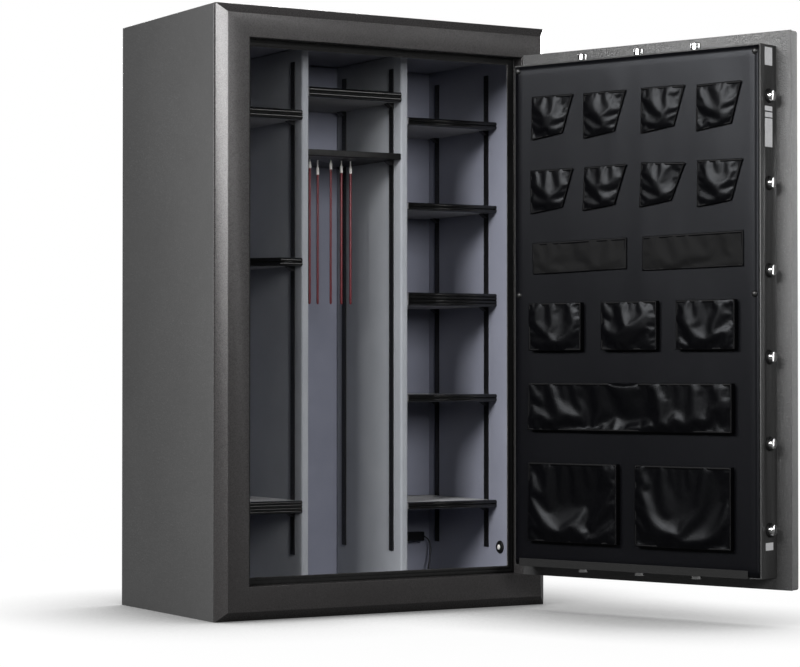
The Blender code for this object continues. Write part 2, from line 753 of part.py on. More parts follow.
def build_handle():
    """Three-spoke handle on the outside of the door."""
    hub = turned("spoke_handle", [(0.0, 0.062), (0.018, 0.062), (0.026, 0.054), (0.028, 0.030),
                                  (0.034, 0.010), (0.034, 0.0), (0.0, 0.0)],
                 (DRIVE_X, FACE_Y - 0.0125, DRIVE_Z), "-Y", chrome)
    reach = 0.135
    pieces = [hub]
    for i in range(3):
        angle = math.radians(90.0 + 120.0 * i)
        spoke = cylinder("weld_spoke", 0.0085, (DRIVE_X, FACE_Y - 0.0525, DRIVE_Z), "Z", reach,
                         segments=24, collection=CUTTERS)
        spoke.rotation_euler = (0.0, math.pi / 2.0 - angle, 0.0)
        knob = bmesh.new()
        bmesh.ops.create_uvsphere(knob, u_segments=24, v_segments=14, radius=0.0165)
        centre = (DRIVE_X + reach * math.cos(angle), FACE_Y - 0.0525,
                  DRIVE_Z + reach * math.sin(angle))
        knob = mesh_object("weld_knob", knob, None, centre, CUTTERS)
        weld(hub, spoke)
        weld(hub, knob)
        pieces += [spoke, knob]
    collar = turned("handle_collar", [(SPINDLE_R + 0.001, 0.011), (0.030, 0.011), (0.038, 0.003),
                                      (0.038, 0.0), (SPINDLE_R + 0.001, 0.0),
                                      (SPINDLE_R + 0.001, 0.011)],
                    (DRIVE_X, FACE_Y - GAP, DRIVE_Z), "-Y", chrome)
    hang(pieces + [collar])


DOOR_PIVOT = bpy.data.objects.new("door_pivot", None)
PARTS.objects.link(DOOR_PIVOT)
DOOR_PIVOT.location = PIVOT
DOOR_PIVOT.rotation_euler = (0.0, 0.0, math.radians(DOOR_OPEN_DEG))

build_body()
build_lining()
build_liners()
build_dividers()
build_standards()
build_shelves()
build_power()
build_hinges()
build_door_panel()
build_door_pan()
build_drive()
build_bolt_bars()
build_fixed_pins()
build_lock()
build_handle()
bpy.context.view_layer.update()
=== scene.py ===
import json
import math

import bmesh
import bpy
import numpy as np
from mathutils import Matrix, Vector
from mathutils import noise

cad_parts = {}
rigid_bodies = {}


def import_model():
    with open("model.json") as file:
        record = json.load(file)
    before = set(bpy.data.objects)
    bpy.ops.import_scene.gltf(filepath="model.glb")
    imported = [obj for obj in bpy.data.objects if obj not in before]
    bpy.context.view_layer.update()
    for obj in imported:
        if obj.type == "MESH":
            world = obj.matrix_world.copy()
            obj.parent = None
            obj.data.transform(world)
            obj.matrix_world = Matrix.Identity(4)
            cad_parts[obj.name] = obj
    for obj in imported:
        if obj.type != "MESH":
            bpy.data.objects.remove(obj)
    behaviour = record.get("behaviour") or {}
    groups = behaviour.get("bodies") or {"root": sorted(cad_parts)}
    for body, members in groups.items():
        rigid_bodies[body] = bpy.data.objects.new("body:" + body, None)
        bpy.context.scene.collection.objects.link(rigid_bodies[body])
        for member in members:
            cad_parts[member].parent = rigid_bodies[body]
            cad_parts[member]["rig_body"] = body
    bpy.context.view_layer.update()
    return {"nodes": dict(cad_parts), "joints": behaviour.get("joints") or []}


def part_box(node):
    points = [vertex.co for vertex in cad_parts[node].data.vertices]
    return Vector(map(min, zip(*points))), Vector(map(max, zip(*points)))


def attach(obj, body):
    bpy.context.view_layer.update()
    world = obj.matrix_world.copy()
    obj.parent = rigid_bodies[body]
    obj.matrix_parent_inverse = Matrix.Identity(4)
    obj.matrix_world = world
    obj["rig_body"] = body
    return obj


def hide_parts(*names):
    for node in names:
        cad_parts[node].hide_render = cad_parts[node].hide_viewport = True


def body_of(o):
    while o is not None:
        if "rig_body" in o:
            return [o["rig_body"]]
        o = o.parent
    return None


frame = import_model()

# ---- places taken from the frame
JOINTS = {joint["name"]: joint for joint in frame["joints"]}
SWING = JOINTS["door_swing"]
PIVOT = Vector(SWING["pos_m"])
OPEN = math.radians(-SWING["range_deg"][0])
DOOR = Matrix.Translation(PIVOT) @ Matrix.Rotation(OPEN, 4, "Z") @ Matrix.Translation(-PIVOT)
TURN = (0.0, 0.0, -OPEN)
FACE_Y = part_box("front_frame")[0].y


def shut_box(node):
    """Lowest and highest corners of a door node as it is when the door is shut."""
    back = DOOR.inverted()
    points = np.array([back @ v.co for v in frame["nodes"][node].data.vertices])
    return Vector(points.min(0)), Vector(points.max(0))


PAN_LOW, PAN_HIGH = shut_box("door_pan")
COVER_LOW, COVER_HIGH = shut_box("door_cover")
COVER_Y = COVER_HIGH.y
LINER_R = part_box("liner_right")[0].x


def new_object(name, data):
    obj = bpy.data.objects.new(name, data)
    bpy.context.scene.collection.objects.link(obj)
    return obj


# ---- camera
def make_camera():
    data = bpy.data.cameras.new("camera")
    data.lens = 112.97
    data.sensor_width = 36.0
    data.clip_end = 200.0
    camera = new_object("camera", data)
    camera.location = (-3.5447, -6.3761, 0.6748)
    camera.rotation_euler = (math.radians(90.882), 0.0, math.radians(-30.552))
    bpy.context.scene.camera = camera


make_camera()


# ---- shader node helpers
def link(tree, source, target):
    tree.links.new(source, target)


def add_node(tree, kind, **settings):
    node = tree.nodes.new(kind)
    for key, value in settings.items():
        setattr(node, key, value)
    return node


def math_node(tree, operation, a, b=None, clamp=False):
    node = add_node(tree, "ShaderNodeMath", operation=operation, use_clamp=clamp)
    for socket, value in zip(node.inputs, (a, b)):
        if value is None:
            continue
        if isinstance(value, (int, float)):
            socket.default_value = value
        else:
            link(tree, value, socket)
    return node.outputs[0]


def ramp_node(tree, value, stops):
    node = add_node(tree, "ShaderNodeValToRGB")
    elements = node.color_ramp.elements
    for element, (place, colour) in zip(elements, (stops[0], stops[-1])):
        element.position = place
        element.color = (*colour, 1.0)
    for place, colour in stops[1:-1]:
        element = elements.new(place)
        element.color = (*colour, 1.0)
    link(tree, value, node.inputs[0])
    return node.outputs[0]


def grey(value):
    return (value, value, value)


def new_group(name, inputs, outputs):
    """An effect group with its input and output nodes."""
    tree = bpy.data.node_groups.new(name, "ShaderNodeTree")
    kinds = {"vector": "NodeSocketVector", "value": "NodeSocketFloat", "colour": "NodeSocketColor"}
    for label, kind, default in inputs:
        socket = tree.interface.new_socket(label, in_out="INPUT", socket_type=kinds[kind])
        if default is not None:
            socket.default_value = default
    for label, kind in outputs:
        tree.interface.new_socket(label, in_out="OUTPUT", socket_type=kinds[kind])
    entry = tree.nodes.new("NodeGroupInput")
    leave = tree.nodes.new("NodeGroupOutput")
    return tree, entry.outputs, leave.inputs


def noise_node(tree, vector, scale, detail=2.0, roughness=0.5):
    node = add_node(tree, "ShaderNodeTexNoise")
    node.inputs["Detail"].default_value = detail
    node.inputs["Roughness"].default_value = roughness
    link(tree, vector, node.inputs["Vector"])
    if isinstance(scale, (int, float)):
        node.inputs["Scale"].default_value = scale
    else:
        link(tree, scale, node.inputs["Scale"])
    return node.outputs["Fac"]


# ---- surface effects
def build_orange_peel():
    """Pebbled textured paint: height, bright flecks and slow tone drift."""
    tree, put, get = new_group("pebbled paint",
                               [("Vector", "vector", None), ("Grain per metre", "value", 330.0)],
                               [("Height", "value"), ("Fleck", "value"), ("Tone", "value")])
    vector, grain = put["Vector"], put["Grain per metre"]
    coarse = noise_node(tree, vector, grain, 3.0, 0.6)
    fine = noise_node(tree, vector, math_node(tree, "MULTIPLY", grain, 3.1), 1.0)
    height = math_node(tree, "ADD", coarse, math_node(tree, "MULTIPLY", fine, 0.45))
    link(tree, height, get["Height"])
    specks = noise_node(tree, vector, math_node(tree, "MULTIPLY", grain, 1.7), 0.0)
    fleck = math_node(tree, "MULTIPLY", math_node(tree, "SUBTRACT", specks, 0.66), 9.0, True)
    link(tree, fleck, get["Fleck"])
    link(tree, noise_node(tree, vector, 3.0, 4.0), get["Tone"])
    return tree


def build_weave():
    """Plain weave: crossed threads and slight thread-to-thread change of tone."""
    tree, put, get = new_group("plain weave",
                               [("Vector", "vector", None), ("Threads per metre", "value", 1400.0)],
                               [("Height", "value"), ("Tone", "value")])
    split = add_node(tree, "ShaderNodeSeparateXYZ")
    link(tree, put["Vector"], split.inputs[0])
    turns = math_node(tree, "MULTIPLY", put["Threads per metre"], math.pi)
    across = math_node(tree, "SINE", math_node(tree, "MULTIPLY", split.outputs["X"], turns))
    up = math_node(tree, "SINE", math_node(tree, "MULTIPLY", split.outputs["Z"], turns))
    crossed = math_node(tree, "MULTIPLY", across, up)
    link(tree, math_node(tree, "MULTIPLY_ADD", crossed, 0.5), get["Height"])
    tone = noise_node(tree, put["Vector"], 160.0, 3.0, 0.7)
    link(tree, math_node(tree, "ADD", tone, math_node(tree, "MULTIPLY", crossed, 0.08)), get["Tone"])
    return tree


def build_pile():
    """Short carpet pile: tufts, fibres and brushed patches."""
    tree, put, get = new_group("carpet pile",
                               [("Vector", "vector", None), ("Tufts per metre", "value", 420.0)],
                               [("Height", "value"), ("Tone", "value")])
    vector, tufts = put["Vector"], put["Tufts per metre"]
    tuft = noise_node(tree, vector, tufts, 4.0, 0.75)
    fibre = noise_node(tree, vector, math_node(tree, "MULTIPLY", tufts, 3.6), 2.0, 0.8)
    link(tree, math_node(tree, "ADD", tuft, math_node(tree, "MULTIPLY", fibre, 0.6)), get["Height"])
    brushed = noise_node(tree, vector, 7.0, 4.0, 0.55)
    tone = math_node(tree, "ADD", math_node(tree, "MULTIPLY", brushed, 0.55),
                     math_node(tree, "MULTIPLY", fibre, 0.45))
    link(tree, tone, get["Tone"])
    return tree


def build_handling():
    """Faint wiping marks and dust that break up a smooth finish."""
    tree, put, get = new_group("handling marks",
                               [("Vector", "vector", None), ("Marks per metre", "value", 22.0)],
                               [("Marks", "value"), ("Scratches", "value")])
    vector, marks = put["Vector"], put["Marks per metre"]
    link(tree, noise_node(tree, vector, marks, 5.0, 0.62), get["Marks"])
    stretch = add_node(tree, "ShaderNodeVectorMath", operation="MULTIPLY")
    stretch.inputs[1].default_value = (1.0, 1.0, 22.0)
    link(tree, vector, stretch.inputs[0])
    link(tree, noise_node(tree, stretch.outputs[0], 60.0, 3.0, 0.6), get["Scratches"])
    return tree


PEBBLED = build_orange_peel()
WEAVE = build_weave()
PILE = build_pile()
HANDLING = build_handling()


class Finish:
    """A material being built: its shader, coordinates and effect groups."""

    def __init__(self, name, rough, metal=0.0, turn=(0.0, 0.0, 0.0), **sockets):
        self.material = bpy.data.materials.new(name)
        self.material.use_nodes = True
        self.tree = self.material.node_tree
        self.shader = self.tree.nodes["Principled BSDF"]
        self.set(**{"Roughness": rough, "Metallic": metal, **sockets})
        place = add_node(self.tree, "ShaderNodeTexCoord")
        turned = add_node(self.tree, "ShaderNodeMapping")
        turned.inputs["Rotation"].default_value = turn
        link(self.tree, place.outputs["Object"], turned.inputs["Vector"])
        self.vector = turned.outputs["Vector"]

    def set(self, **sockets):
        for label, value in sockets.items():
            self.shader.inputs[label.replace("_", " ")].default_value = value

    def effect(self, group, **values):
        node = add_node(self.tree, "ShaderNodeGroup", node_tree=group)
        link(self.tree, self.vector, node.inputs["Vector"])
        for label, value in values.items():
            node.inputs[label.replace("_", " ")].default_value = value
        return node.outputs

    def colour(self, value, stops):
        link(self.tree, ramp_node(self.tree, value, stops), self.shader.inputs["Base Color"])

    def roughness(self, value, low, high):
        spread = math_node(self.tree, "MULTIPLY_ADD", value, high - low)
        spread.node.inputs[2].default_value = low
        link(self.tree, spread, self.shader.inputs["Roughness"])

    def bump(self, height, distance, strength=1.0):
        node = add_node(self.tree, "ShaderNodeBump")
        node.inputs["Strength"].default_value = strength
        node.inputs["Distance"].default_value = distance
        link(self.tree, height, node.inputs["Height"])
        link(self.tree, node.outputs["Normal"], self.shader.inputs["Normal"])


# ---- finishes
def painted(name, tone, rough, grain=330.0, depth=0.0006, warm=1.0, gloss=0.6):
    """Dark grey textured paint with a fine metal fleck."""
    finish = Finish(name, rough, 0.25, Specular_IOR_Level=gloss)
    peel = finish.effect(PEBBLED, Grain_per_metre=grain)
    mixed = math_node(finish.tree, "ADD", math_node(finish.tree, "MULTIPLY", peel["Tone"], 0.30),
                      math_node(finish.tree, "MULTIPLY", peel["Fleck"], 0.55))
    dark, mid, light = tone * 0.82, tone * 1.05, tone * 2.3
    finish.colour(mixed, [(0.0, (dark * warm, dark, dark)), (0.28, (mid * warm, mid, mid)),
                          (1.0, (light * warm, light, light))])
    finish.roughness(peel["Height"], rough - 0.06, rough + 0.06)
    finish.bump(peel["Height"], depth)
    return finish.material


def carpeted(name, dark, light, tufts=420.0, turn=(0.0, 0.0, 0.0), depth=0.0012):
    """Short-pile carpet fabric."""
    finish = Finish(name, 0.95, 0.0, turn, Sheen_Weight=0.25, Sheen_Roughness=0.5,
                    Specular_IOR_Level=0.15)
    pile = finish.effect(PILE, Tufts_per_metre=tufts)
    finish.colour(pile["Tone"], [(0.25, dark), (0.75, light)])
    finish.bump(pile["Height"], depth)
    return finish.material


def woven(name, dark, light, rough, threads, depth, turn=(0.0, 0.0, 0.0), **sockets):
    """Woven cloth, from matt cover fabric to shiny coated nylon."""
    finish = Finish(name, rough, 0.0, turn, **sockets)
    weave = finish.effect(WEAVE, Threads_per_metre=threads)
    finish.colour(weave["Tone"], [(0.3, dark), (0.75, light)])
    finish.roughness(weave["Tone"], rough - 0.06, rough + 0.10)
    finish.bump(weave["Height"], depth)
    return finish.material


def smooth_finish(name, dark, light, rough, metal=0.0, marks=22.0, depth=0.0, **sockets):
    """A smooth moulded, plated or sprayed finish with faint handling marks."""
    finish = Finish(name, rough, metal, **sockets)
    worn = finish.effect(HANDLING, Marks_per_metre=marks)
    finish.colour(worn["Marks"], [(0.3, dark), (0.7, light)])
    finish.roughness(worn["Marks"], max(0.02, rough - 0.05), rough + 0.08)
    if depth:
        finish.bump(worn["Scratches"], depth)
    return finish.material


BODY_PAINT = painted("body_paint", 0.058, 0.44)
FRAME_PAINT = painted("frame_paint", 0.034, 0.25, depth=0.0004, warm=1.05, gloss=0.38)
DOOR_PAINT = painted("door_paint", 0.060, 0.42)
PLATE_PAINT = painted("plate_paint", 0.046, 0.36, 300.0, 0.0006, gloss=0.18)
HAMMERED = painted("hammered_plate", 0.050, 0.33, 210.0, 0.0016, gloss=0.7)
STRIP_PAINT = painted("strip_paint", 0.013, 0.48, 300.0, 0.0004, gloss=0.15)
LINER_CLOTH = carpeted("liner_cloth", (0.205, 0.214, 0.270), (0.275, 0.286, 0.352))
DIVIDER_CLOTH = carpeted("divider_cloth", (0.30, 0.315, 0.345), (0.40, 0.415, 0.44))
SHELF_CLOTH = carpeted("shelf_cloth", (0.26, 0.26, 0.275), (0.38, 0.38, 0.395))
COVER_CLOTH = woven("cover_cloth", (0.0009, 0.0009, 0.0013), (0.0018, 0.0018, 0.0025), 0.33, 1300.0,
                    0.00005, TURN, Specular_IOR_Level=0.14, Specular_Tint=(0.90, 0.93, 1.0, 1.0))
NYLON = woven("coated_nylon", (0.0007, 0.0007, 0.0009), (0.0014, 0.0014, 0.0018), 0.30, 1600.0,
              0.00003, TURN, Specular_IOR_Level=0.085, Specular_Tint=(0.92, 0.95, 1.0, 1.0))
FELT = woven("elastic_mesh", (0.0012, 0.0012, 0.0013), (0.0032, 0.0032, 0.0034), 0.62, 700.0,
             0.0002, TURN, Specular_IOR_Level=0.10)
BINDING = woven("binding_tape", (0.0008, 0.0008, 0.0010), (0.0024, 0.0024, 0.0028), 0.48, 900.0,
                0.0001, TURN, Specular_IOR_Level=0.10)
TRIM_PLASTIC = smooth_finish("trim_plastic", grey(0.0020), grey(0.0045), 0.20, marks=30.0,
                             Coat_Weight=0.3, Coat_Roughness=0.10)
BLACK_STEEL = smooth_finish("black_steel", grey(0.0030), grey(0.0075), 0.40, 0.3, 40.0, 0.0001)
ZINC = smooth_finish("zinc_plate", (0.42, 0.42, 0.44), (0.58, 0.57, 0.55), 0.36, 1.0, 60.0,
                     0.0001)
CHROME = smooth_finish("bolt_chrome", grey(0.60), grey(0.70), 0.13, 1.0, 35.0)
TIP_WHITE = smooth_finish("white_tip", (0.72, 0.70, 0.66), (0.86, 0.84, 0.80), 0.30, 0.0, 60.0)
ROD_RED = smooth_finish("rod_red", (0.115, 0.008, 0.014), (0.165, 0.013, 0.020), 0.38, 0.0, 60.0)
RUBBER = smooth_finish("black_rubber", grey(0.0035), grey(0.008), 0.55, marks=80.0,
                       Specular_IOR_Level=0.18)
CORD_JACKET = smooth_finish("cord_jacket_black", grey(0.007), grey(0.014), 0.42, marks=90.0)
GYPSUM = carpeted("gypsum_paper", (0.46, 0.44, 0.41), (0.60, 0.58, 0.54), 160.0, depth=0.0003)
LABEL = smooth_finish("blank_label", (0.52, 0.52, 0.53), (0.62, 0.62, 0.63), 0.45, marks=120.0)
MARKING = smooth_finish("white_marking", grey(0.62), grey(0.74), 0.5, marks=90.0)


# ---- making and placing pieces
def finished(obj, material, body, smooth=True):
    """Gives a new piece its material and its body."""
    obj.data.materials.clear()
    obj.data.materials.append(material)
    if smooth and obj.type == "MESH":
        obj.data.polygons.foreach_set("use_smooth", [True] * len(obj.data.polygons))
    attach(obj, body)
    return obj


def mesh_piece(name, bm, material, body, smooth=True, door=False, outward=True):
    """A new piece from a mesh; a door piece is drawn shut and turned to the open door."""
    data = bpy.data.meshes.new(name)
    if door:
        bm.transform(DOOR)
    if outward:
        bmesh.ops.recalc_face_normals(bm, faces=bm.faces)
    bm.to_mesh(data)
    bm.free()
    return finished(new_object(name, data), material, body, smooth)


def bevelled(obj, width, segments=2, angle=35.0):
    """Rounded edges with clean shading on the flats."""
    bevel = obj.modifiers.new("rounded edges", "BEVEL")
    bevel.width = width
    bevel.segments = segments
    bevel.limit_method = "ANGLE"
    bevel.angle_limit = math.radians(angle)
    bevel.harden_normals = True
    bevel.use_clamp_overlap = True


def even_flats(obj):
    """Large faces with holes in them are shaded flat right across."""
    even = obj.modifiers.new("flat faces", "WEIGHTED_NORMAL")
    even.mode = "FACE_AREA"
    even.weight = 80
    even.keep_sharp = True


def rounded(node, width, material, segments=2, angle=35.0):
    """A finished copy of a CAD node with its sheet-metal or board edges rounded over."""
    solid = frame["nodes"][node]
    bm = bmesh.new()
    bm.from_mesh(solid.data)
    bmesh.ops.remove_doubles(bm, verts=bm.verts, dist=2e-6)
    bmesh.ops.join_triangles(bm, faces=bm.faces, angle_face_threshold=math.radians(0.5),
                             angle_shape_threshold=math.pi)
    piece = mesh_piece(node + "_finish", bm, material, body_of(solid)[0])
    bevelled(piece, width, segments, angle)
    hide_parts(node)
    return piece


def keep_node(node, material):
    """A CAD node that is right as it is and only takes a finish."""
    obj = frame["nodes"][node]
    obj.data.materials.clear()
    obj.data.materials.append(material)


def bridge(bm, low, high, closed=True):
    """Adds a row of four-sided faces between two rows of points."""
    count = len(low)
    for k in range(count if closed else count - 1):
        n = (k + 1) % count
        bm.faces.new([low[k], low[n], high[n], high[k]])


def turned(bm, profile, origin, axis, segments=48):
    """Adds a body of revolution: profile is (radius, height) pairs along axis from origin."""
    axis = Vector(axis).normalized()
    side = axis.orthogonal().normalized()
    other = axis.cross(side)
    rings = []
    for radius, height in profile:
        centre = Vector(origin) + axis * height
        if radius < 1e-6:
            rings.append([bm.verts.new(centre)])
            continue
        rings.append([bm.verts.new(centre + side * (radius * math.cos(a))
                                   + other * (radius * math.sin(a)))
                      for a in (2.0 * math.pi * k / segments for k in range(segments))])
    for low, high in zip(rings, rings[1:]):
        for k in range(segments):
            n = (k + 1) % segments
            corners = [low[k % len(low)], low[n % len(low)], high[n % len(high)], high[k % len(high)]]
            unique = list(dict.fromkeys(corners))
            if len(unique) > 2:
                bm.faces.new(unique)


def swept(bm, section, path, up, closed=False):
    """Adds a section swept along a flat path with mitred corners; section is (out, up) pairs."""
    up = Vector(up).normalized()
    points = [Vector(p) for p in path]
    count = len(points)
    rings = []
    for i, point in enumerate(points):
        before = points[i - 1] if i or closed else None
        after = points[(i + 1) % count] if i < count - 1 or closed else None
        ways = []
        if before is not None:
            ways.append((point - before).normalized())
        if after is not None:
            ways.append((after - point).normalized())
        sides = [way.cross(up).normalized() for way in ways]
        side = sum(sides, Vector()).normalized()
        stretch = 1.0 / max(0.3, side.dot(sides[0]))
        rings.append([bm.verts.new(point + side * (u * stretch) + up * v) for u, v in section])
    for low, high in zip(rings, rings[1:] + ([rings[0]] if closed else [])):
        bridge(bm, low, high)
    if not closed:
        bm.faces.new(rings[0][::-1])
        bm.faces.new(rings[-1])


def block(bm, low, high):
    """Adds a closed box between two corners."""
    made = bmesh.ops.create_cube(bm, size=1.0)["verts"]
    low, high = Vector(low), Vector(high)
    for vert in made:
        vert.co = Vector([low[i] + (vert.co[i] + 0.5) * (high[i] - low[i]) for i in range(3)])


def curve_piece(name, points, radius, material, body):
    """A round cord along a line of points."""
    data = bpy.data.curves.new(name, "CURVE")
    data.dimensions = "3D"
    data.bevel_depth = radius
    data.bevel_resolution = 3
    data.use_fill_caps = True
    spline = data.splines.new("POLY")
    spline.points.add(len(points) - 1)
    for point, place in zip(spline.points, points):
        point.co = (*place, 1.0)
    spline.use_smooth = True
    return finished(new_object(name, data), material, body)


# ---- cord
CORD_R = 0.0022
CORD_START = (0.4463, 0.2560, 0.1700)
CORD_POINTS = [
    CORD_START,
    (0.4530, 0.2558, 0.1694),
    (0.4598, 0.2551, 0.1672),
    (0.4660, 0.2539, 0.1628),
    (0.4706, 0.2522, 0.1563),
    (0.4730, 0.2501, 0.1477),
    (0.4732, 0.2477, 0.1370),
    (0.4716, 0.2450, 0.1240),
    (0.4686, 0.2418, 0.1095),
    (0.4645, 0.2385, 0.0950),
    (0.4600, 0.2355, 0.0812),
    (0.4568, 0.2335, 0.0690),
    (0.4560, 0.2330, 0.0579),
]


def smooth_route(points, samples):
    """Catmull-Rom curve through the route's points."""
    pts = [Vector(p) for p in points]
    pts = [2.0 * pts[0] - pts[1]] + pts + [2.0 * pts[-1] - pts[-2]]
    route = []
    for i in range(1, len(pts) - 2):
        a, b, c, d = pts[i - 1:i + 3]
        for k in range(samples):
            t = k / samples
            route.append(0.5 * ((2.0 * b) + (c - a) * t + (2.0 * a - 5.0 * b + 4.0 * c - d) * t ** 2
                                + (3.0 * b - a - 3.0 * c + d) * t ** 3))
    route.append(pts[-2])
    return route


def make_cord():
    """Low-voltage lead from the power box down into the floor gland."""
    route = smooth_route(CORD_POINTS, 3)
    cord = curve_piece("power_lead", route, CORD_R, CORD_JACKET, "body")
    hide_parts("power_cord")
    boot = bmesh.new()
    turned(boot, [(0.0, 0.0), (0.0052, 0.0), (0.0052, 0.003), (0.0044, 0.004), (0.0044, 0.0055),
                  (0.0036, 0.0065), (0.0034, 0.0085), (0.0029, 0.0095), (0.0027, 0.0120),
                  (0.0, 0.0120)], Vector(CORD_START) - Vector((0.0003, 0.0, 0.0)),
           Vector(CORD_POINTS[1]) - Vector(CORD_START), 20)
    boot = mesh_piece("lead_boot", boot, RUBBER, "body")


make_cord()


# ---- body, liners, dividers
def make_body():
    rounded("body_shell", 0.0022, BODY_PAINT)
    rounded("front_frame", 0.0016, FRAME_PAINT)
    keep_node("fire_lining", GYPSUM)
    for side in ("left", "right", "floor", "ceiling", "back"):
        keep_node("liner_" + side, LINER_CLOTH)
    for side in ("left", "right"):
        rounded("divider_" + side, 0.0062, DIVIDER_CLOTH, 5)
    keep_node("power_box", TRIM_PLASTIC)
    keep_node("cord_gland", RUBBER)


def make_seal():
    """Black intumescent door seal round the stop face of the jamb."""
    low, high = 0.1140, 1.5665
    half = 0.4185
    face = FACE_Y + 0.042
    section = [(0.0, 0.0), (0.019, 0.0), (0.019, 0.0010), (0.0175, 0.0020), (0.011, 0.0024),
               (0.0095, 0.0014), (0.008, 0.0024), (0.0015, 0.0020), (0.0, 0.0010)]
    bm = bmesh.new()
    path = [(-half, face, low), (half, face, low), (half, face, high), (-half, face, high)]
    swept(bm, [(u, v - 0.00005) for u, v in section], path, (0.0, -1.0, 0.0), True)
    mesh_piece("door_seal", bm, RUBBER, "body")


def slotted_strip(name, side):
    """Shelf standard: a rolled strip with a ladder of slots at 12.7 mm pitch."""
    low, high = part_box(name)
    outer, inner = (high.x, low.x) if side == "left" else (low.x, high.x)
    sunk = outer + (inner - outer) * 0.6
    pitch, slot = 0.0127, 0.0042
    ys = [low.y, low.y + 0.0055, high.y - 0.0055, high.y]
    rows = int((high.z - low.z - 0.02) / pitch)
    start = (low.z + high.z - rows * pitch) / 2.0
    zs = [low.z]
    for i in range(rows):
        middle = start + (i + 0.5) * pitch
        zs += [middle - slot / 2.0, middle + slot / 2.0]
    zs.append(high.z)
    bm = bmesh.new()
    grid = [[bm.verts.new((outer, y, z)) for y in ys] for z in zs]
    for i in range(len(zs) - 1):
        for k in range(3):
            ring = [grid[i][k], grid[i][k + 1], grid[i + 1][k + 1], grid[i + 1][k]]
            if k == 1 and i % 2 == 1:
                floor = [bm.verts.new((sunk, v.co.y, v.co.z)) for v in ring]
                bridge(bm, ring, floor)
                bm.faces.new(floor)
            else:
                bm.faces.new(ring)
    back = {}
    for row in (0, -1):
        for k in (0, 3):
            v = grid[row][k]
            back[row, k] = bm.verts.new((inner, v.co.y, v.co.z))
    bm.faces.new([back[0, 0], back[0, 3], back[-1, 3], back[-1, 0]])
    for k in (0, 3):
        edge = [grid[i][k] for i in range(len(zs))]
        bm.faces.new(edge + [back[-1, k], back[0, k]])
    for row in (0, -1):
        bm.faces.new(list(grid[row]) + [back[row, 3], back[row, 0]])
    piece = mesh_piece(name + "_slotted", bm, BLACK_STEEL, "body", False)
    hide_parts(name)


def make_standards():
    for column in ("left", "middle", "right"):
        for side in ("left", "right"):
            for place in ("front", "rear"):
                slotted_strip("standard_%s_%s_%s" % (column, side, place), side)


TRIM_DEPTH = 0.013


def trim_section(low, high):
    """Two-ridged moulding that grips a shelf's front edge."""
    middle = (low + high) / 2.0
    half = (high - low) / 2.0
    outline = [(-TRIM_DEPTH, half + 0.0012), (0.0000, half + 0.0012)]
    for centre in (0.5, -0.5):
        for k in range(7):
            angle = math.pi * (0.5 - k / 6.0)
            outline.append((0.0012 + 0.0030 * math.cos(angle),
                            centre * half + 0.44 * half * math.sin(angle)))
        if centre > 0.0:
            outline.append((0.0004, 0.0))
    outline += [(0.0000, -half - 0.0012), (-TRIM_DEPTH, -half - 0.0012), (-TRIM_DEPTH, -half),
                (-0.0012, -half), (-0.0012, half), (-TRIM_DEPTH, half)]
    return [(u, v + middle) for u, v in outline]


def make_trim(name, path, low, high):
    bm = bmesh.new()
    swept(bm, trim_section(low, high), path, (0.0, 0.0, 1.0))
    piece = mesh_piece(name, bm, TRIM_PLASTIC, "body")
    bevelled(piece, 0.0004, 1, 50.0)


def shelf_front_path(node):
    """The front edge of a shelf, from its left end to its right end."""
    low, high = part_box(node)
    if node == "shelf_left_middle":
        back = low.y + 0.130
        return [(low.x, back), (low.x + 0.165, back), (high.x - 0.0677, low.y), (high.x, low.y)]
    return [(low.x, low.y), (high.x, low.y)]


def make_clips(node):
    """Hooked steel clips that carry a shelf from its four standards."""
    low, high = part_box(node)
    bm = bmesh.new()
    for side in (-1.0, 1.0):
        wall = low.x if side < 0 else high.x
        for y in CLIP_YS:
            reach = wall - side * 0.020
            top = low.z - 0.0004
            section = [(wall - side * 0.0033, top), (reach, top), (reach, top - 0.0022),
                       (wall - side * 0.0060, top - 0.0125), (wall - side * 0.0033, top - 0.0125)]
            front = [bm.verts.new((x, y - 0.0115, z)) for x, z in section]
            rear = [bm.verts.new((x, y + 0.0115, z)) for x, z in section]
            bm.faces.new(front)
            bm.faces.new(rear[::-1])
            bridge(bm, front, rear)
    bevelled(mesh_piece(node + "_clips", bm, BLACK_STEEL, "body"), 0.0006, 2)


def make_shelves():
    names = ["shelf_left_" + row for row in ("top", "middle", "bottom")]
    names += ["shelf_middle_top"] + ["shelf_right_%d" % k for k in range(1, 6)]
    for node in names:
        rounded(node, 0.0008, SHELF_CLOTH, 2, 60.0)
        low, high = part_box(node)
        path = [(x, y, 0.0) for x, y in shelf_front_path(node)]
        layers = 2 if high.z - low.z > 0.03 else 1
        step = (high.z - low.z) / layers
        for k in range(layers):
            inset = 0.0 if layers == 1 else 0.0008
            make_trim("%s_trim_%d" % (node, k + 1), path, low.z + k * step + inset,
                      low.z + (k + 1) * step - inset)
        make_clips(node)
    rounded("barrel_rest", 0.0012, BLACK_STEEL, 2, 60.0)
    make_clips("barrel_rest")


ROD_XS = (-0.0766, -0.0707, -0.0429, -0.0128, 0.0282, 0.0587)
ROD_TOPS = (1.2895, 1.2790, 1.2730, 1.2880, 1.2800, 1.2790)
ROD_Y = 0.0135
ROD_FOOT = 0.872
ROD_TIP = 0.024
CLIP_YS = (-0.0555, 0.2265)


